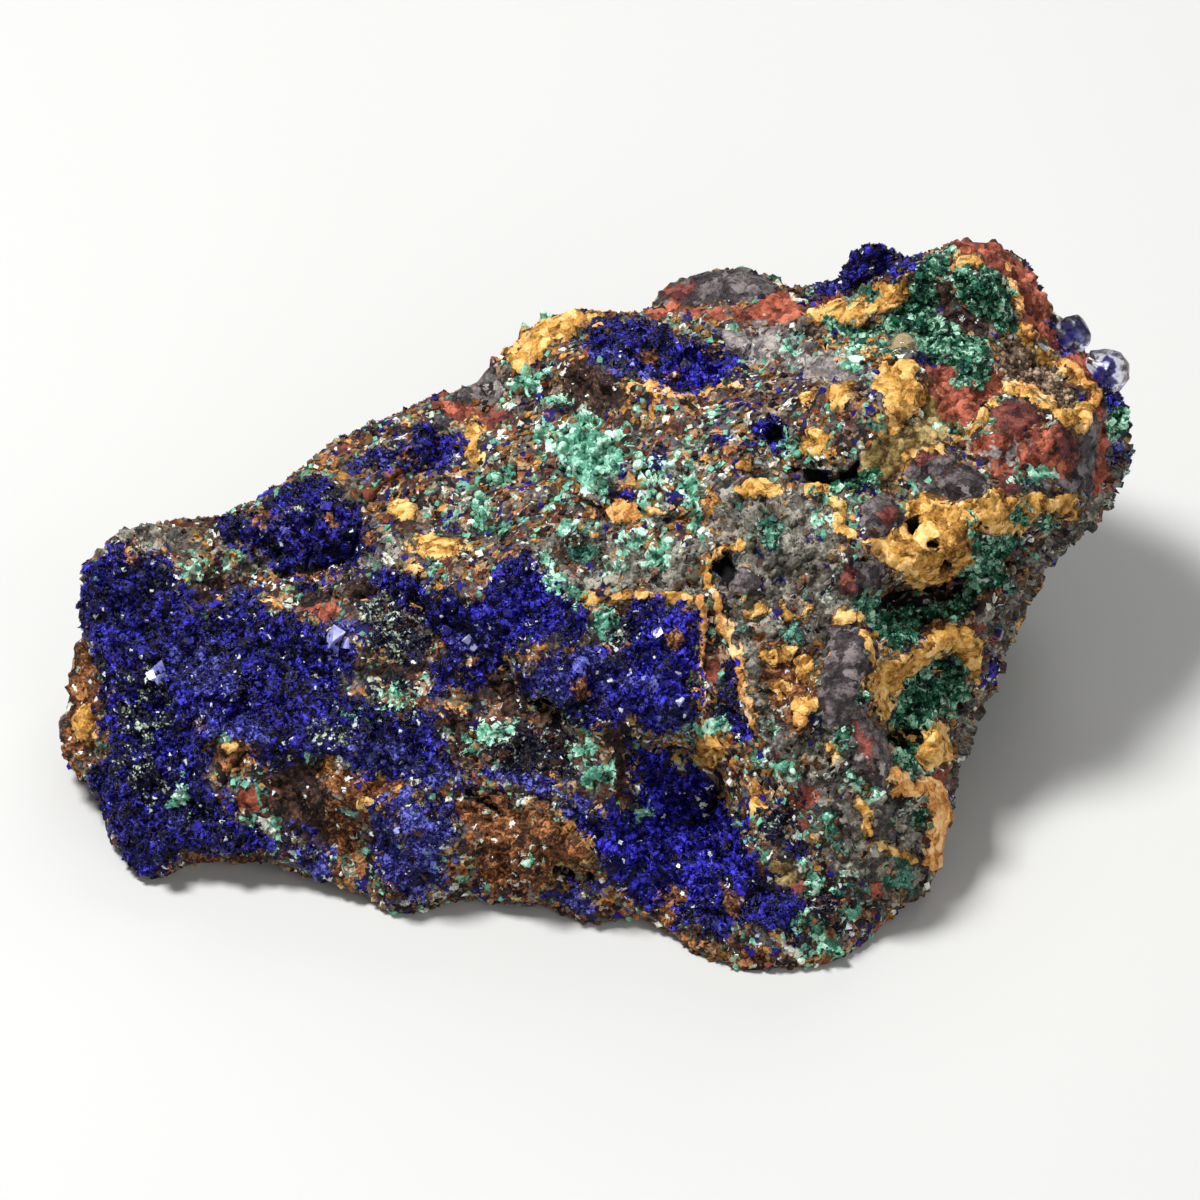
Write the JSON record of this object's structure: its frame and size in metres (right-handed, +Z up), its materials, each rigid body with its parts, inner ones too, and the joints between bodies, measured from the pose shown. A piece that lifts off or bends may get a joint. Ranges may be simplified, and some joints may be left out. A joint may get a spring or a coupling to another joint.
{
  "type": "azurite specimen",
  "caption": "Hand-sized lump of iron-stained rock with a broad dark blue azurite druse and green malachite crusts, lying on its flat base.",
  "frame": {"origin": "middle of the base plane, under the middle of the specimen's bounding box", "axes": "+Z up, square to the flat base; +X to the right along the specimen's length, from the azurite lobe to the head; the show face leans back from -Y"},
  "size_m": [0.1076, 0.0808, 0.042],
  "materials": {
    "gossan": "rough",
    "azurite": "glassy crystal faces",
    "light_malachite": "dull to waxy",
    "dark_malachite": "silky",
    "quartz": "clear, glassy"
  },
  "bodies": {
    "root": {"host_rock": "gossan", "azurite_druse": "azurite", "azurite_slope_druse": "azurite", "azurite_pocket_druse": "azurite", "azurite_knob": "azurite", "malachite_patch": "light_malachite", "malachite_head_crust": "dark_malachite", "malachite_cave_crust": "dark_malachite", "malachite_pocket_crust": "dark_malachite", "quartz_bead": "quartz", "quartz_side_crystal": "quartz", "chalcedony_bead": "quartz"}
  },
  "joints": []
}
